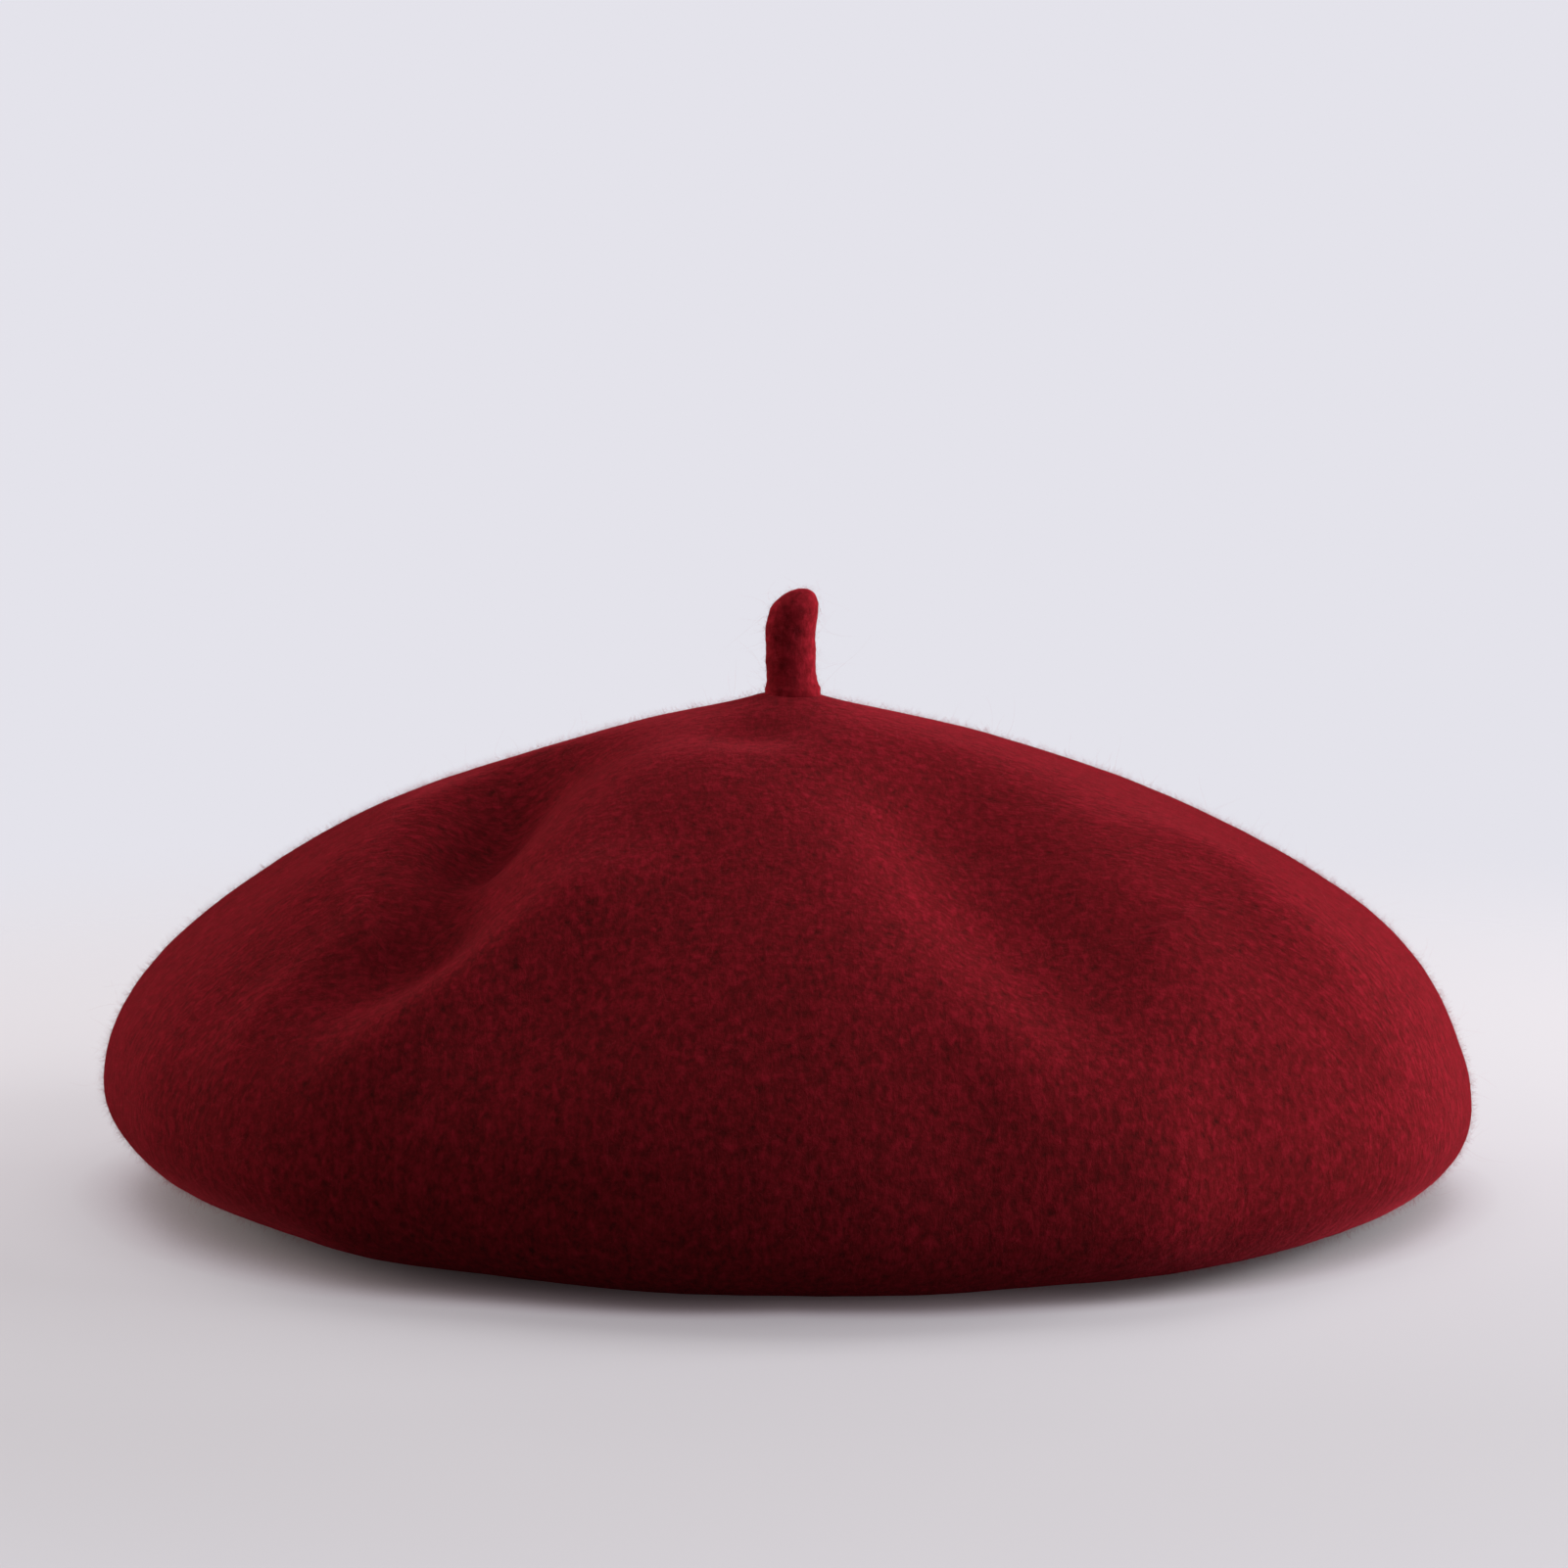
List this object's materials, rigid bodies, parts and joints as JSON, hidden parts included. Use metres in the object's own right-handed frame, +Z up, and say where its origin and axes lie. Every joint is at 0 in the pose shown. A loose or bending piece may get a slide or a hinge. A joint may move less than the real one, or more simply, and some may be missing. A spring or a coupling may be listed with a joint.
{
  "type": "beret",
  "caption": "Soft felted wool beret with a round domed crown, a short felt stem, a leather sweatband and a satin lining.",
  "frame": {"origin": "centre of the resting ring, in the plane the beret stands on", "axes": "+Z up out of the crown through the stem, -Y the front, +X the wearer's left when worn with -Y forwards"},
  "size_m": [0.28, 0.28, 0.1228],
  "materials": {
    "felt": "matt milled wool felt with a short nap",
    "stem_felt": "matt hard-twisted wool felt",
    "satin": "soft satin sheen",
    "piping": "satin over cord",
    "woven_patch": "blank damask weave",
    "woven_label": "blank woven tape",
    "thread": "twisted thread",
    "leather": "satin grained leather",
    "ribbon": "ribbed ribbon"
  },
  "bodies": {
    "crown": {"crown_shell": "felt", "stem_knot": "thread", "lining_top": "satin", "lining_under": "satin", "lining_seam": "piping", "lining_patch": "woven_patch", "patch_stitches": "thread", "sweatband": "leather", "band_joint_tape": "ribbon", "band_stitches": "thread", "band_bow": "ribbon", "bow_wrap": "ribbon", "label_tack": "thread"},
    "stem": {"stem": "stem_felt"},
    "labels": {"care_label": "woven_label", "size_tab": "woven_label"}
  },
  "joints": [
    {"name": "stem_lean", "type": "hinge", "parent": "crown", "child": "stem", "pos_m": [0, 0, 0.1042], "axis": [0, 1, 0], "range_deg": [-45, 45], "stiffness_Nm_per_rad": 0.006},
    {"name": "label_flip", "type": "hinge", "parent": "crown", "child": "labels", "pos_m": [-0.07457, 0.05221, 0.0294], "axis": [0.5736, 0.8192, 0], "range_deg": [0, 180]}
  ]
}
